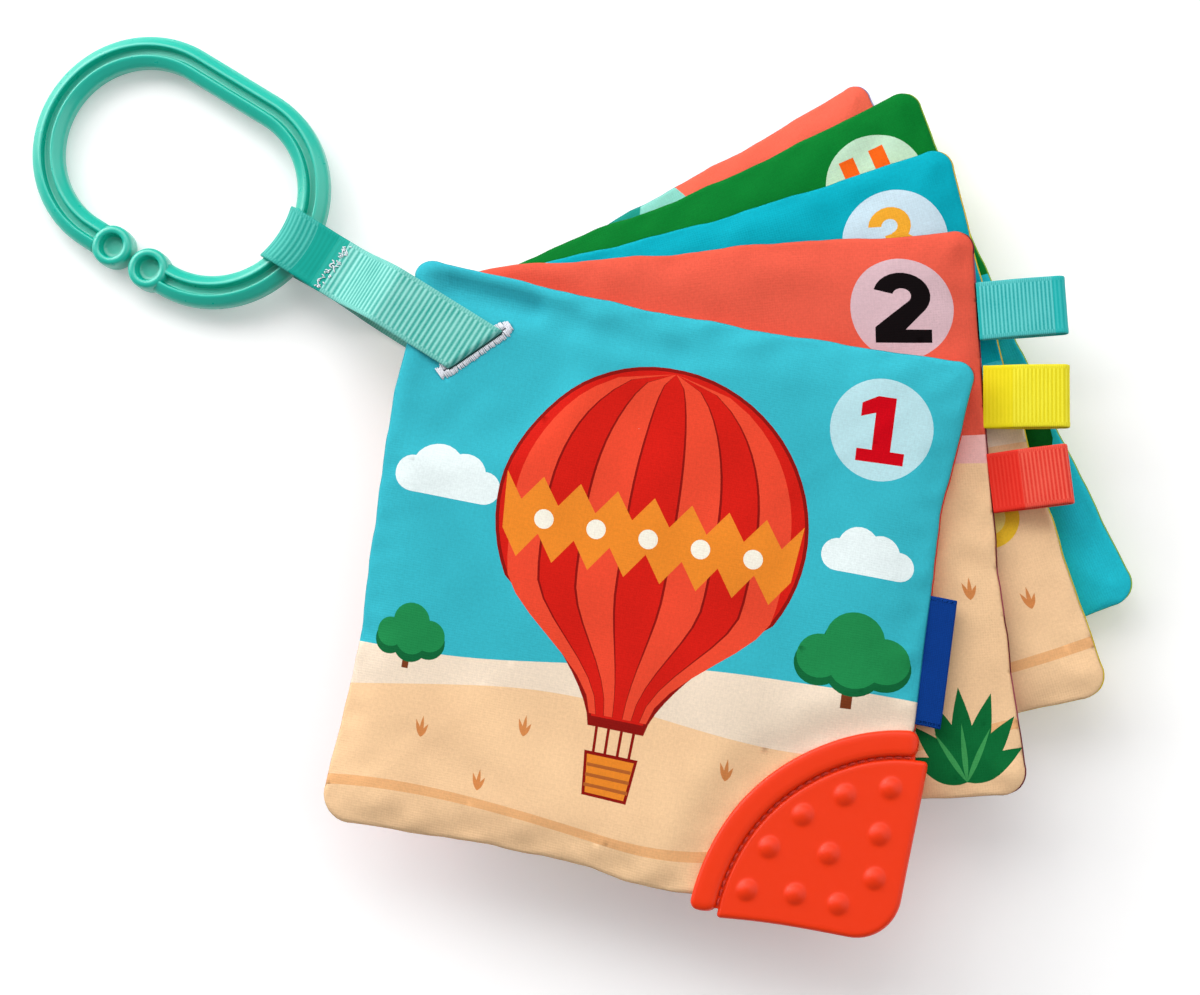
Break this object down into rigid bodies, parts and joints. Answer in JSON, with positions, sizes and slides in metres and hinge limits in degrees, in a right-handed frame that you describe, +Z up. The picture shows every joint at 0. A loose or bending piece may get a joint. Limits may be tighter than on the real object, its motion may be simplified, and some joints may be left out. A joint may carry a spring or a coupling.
{
  "type": "cloth book",
  "caption": "Soft cloth baby book: padded pages fanned on a ribbon strap with an open plastic link ring, a corner teether, ribbon tags and a side label.",
  "frame": {"origin": "under the middle of the whole book's box, on the surface that it lies on", "axes": "+Z up through the pages, with the top page square to X and Y, the strap and its ring towards -X, and the pages' free sides towards +X and -Y"},
  "size_m": [0.2976, 0.2128, 0.0311],
  "materials": {
    "page_1_front_cloth": "brushed woven polyester, printed",
    "page_1_back_cloth": "brushed woven polyester, printed",
    "page_2_front_cloth": "brushed woven polyester, printed",
    "page_2_back_cloth": "brushed woven polyester, printed",
    "page_3_front_cloth": "brushed woven polyester, printed",
    "page_3_back_cloth": "brushed woven polyester, printed",
    "page_4_front_cloth": "brushed woven polyester, printed",
    "page_4_back_cloth": "brushed woven polyester, printed",
    "page_5_front_cloth": "brushed woven polyester, printed",
    "page_5_back_cloth": "brushed woven polyester, printed",
    "wadding": "matte",
    "crinkle_film": "glossy thin film",
    "white_thread": "satin thread",
    "coral_thread": "satin thread",
    "strap_ribbon": "ribbed grosgrain",
    "ring_plastic": "smooth moulded",
    "teether_rubber": "soft satin",
    "teal_ribbon": "ribbed grosgrain",
    "yellow_ribbon": "ribbed grosgrain",
    "red_ribbon": "ribbed grosgrain",
    "navy_label": "fine woven tape"
  },
  "bodies": {
    "strap": {"strap_upper_run": "strap_ribbon", "strap_return_run": "strap_ribbon", "strap_neck": "strap_ribbon", "strap_zigzag_stitching": "white_thread"},
    "page_1": {"page_1_front_cover": "page_1_front_cloth", "page_1_back_cover": "page_1_back_cloth", "page_1_wadding": "wadding", "page_1_crinkle_film": "crinkle_film", "page_1_buttonhole_stitching": "white_thread", "teether": "teether_rubber", "teether_stitching": "coral_thread"},
    "page_2": {"page_2_front_cover": "page_2_front_cloth", "page_2_back_cover": "page_2_back_cloth", "page_2_wadding": "wadding", "page_2_crinkle_film": "crinkle_film", "page_2_buttonhole_stitching": "white_thread"},
    "page_3": {"page_3_front_cover": "page_3_front_cloth", "page_3_back_cover": "page_3_back_cloth", "page_3_wadding": "wadding", "page_3_crinkle_film": "crinkle_film", "page_3_buttonhole_stitching": "white_thread"},
    "page_4": {"page_4_front_cover": "page_4_front_cloth", "page_4_back_cover": "page_4_back_cloth", "page_4_wadding": "wadding", "page_4_crinkle_film": "crinkle_film", "page_4_buttonhole_stitching": "white_thread"},
    "page_5": {"page_5_front_cover": "page_5_front_cloth", "page_5_back_cover": "page_5_back_cloth", "page_5_wadding": "wadding", "page_5_crinkle_film": "crinkle_film", "page_5_buttonhole_stitching": "white_thread"},
    "ring": {"link_ring": "ring_plastic"},
    "teal_tag": {"tag_teal": "teal_ribbon"},
    "yellow_tag": {"tag_yellow": "yellow_ribbon"},
    "red_tag": {"tag_red": "red_ribbon"},
    "label": {"side_label": "navy_label"}
  },
  "joints": [
    {"name": "page_1_turn", "type": "hinge", "parent": "strap", "child": "page_1", "pos_m": [-0.01863, 0.01656, 0.0281], "axis": [0, 0, 1], "range_deg": [-46, 94], "deforming": ["strap_neck"]},
    {"name": "page_2_turn", "type": "hinge", "parent": "strap", "child": "page_2", "pos_m": [-0.01863, 0.01656, 0.0217], "axis": [0, 0, 1], "range_deg": [-62.5, 77.5], "deforming": ["strap_neck"]},
    {"name": "page_3_turn", "type": "hinge", "parent": "strap", "child": "page_3", "pos_m": [-0.01863, 0.01656, 0.0153], "axis": [0, 0, 1], "range_deg": [-72.5, 67.5], "deforming": ["strap_neck"]},
    {"name": "page_4_turn", "type": "hinge", "parent": "strap", "child": "page_4", "pos_m": [-0.01863, 0.01656, 0.0089], "axis": [0, 0, 1], "range_deg": [-81, 59], "deforming": ["strap_neck"]},
    {"name": "page_5_turn", "type": "hinge", "parent": "strap", "child": "page_5", "pos_m": [-0.01863, 0.01656, 0.0025], "axis": [0, 0, 1], "range_deg": [-85.5, 54.5], "deforming": ["strap_neck"]},
    {"name": "ring_swing", "type": "hinge", "parent": "strap", "child": "ring", "pos_m": [-0.07424, 0.03813, 0.00625], "axis": [0.3616, 0.9323, 0], "range_deg": [0, 125]},
    {"name": "teal_tag_fold", "type": "hinge", "parent": "page_2", "child": "teal_tag", "pos_m": [0.10042, 0.04713, 0.02245], "axis": [0.284, -0.9588, 0], "range_deg": [-3, 70], "stiffness_Nm_per_rad": 0.002},
    {"name": "yellow_tag_fold", "type": "hinge", "parent": "page_2", "child": "yellow_tag", "pos_m": [0.10545, 0.02703, 0.02245], "axis": [0.284, -0.9588, 0], "range_deg": [-3, 70], "stiffness_Nm_per_rad": 0.002},
    {"name": "red_tag_fold", "type": "hinge", "parent": "page_2", "child": "red_tag", "pos_m": [0.11084, 0.00777, 0.02245], "axis": [0.284, -0.9588, 0], "range_deg": [-3, 70], "stiffness_Nm_per_rad": 0.002},
    {"name": "label_fold", "type": "hinge", "parent": "page_1", "child": "label", "pos_m": [0.10301, -0.03744, 0.0284], "axis": [0, -1, 0], "range_deg": [-15, 80], "stiffness_Nm_per_rad": 0.0005}
  ]
}
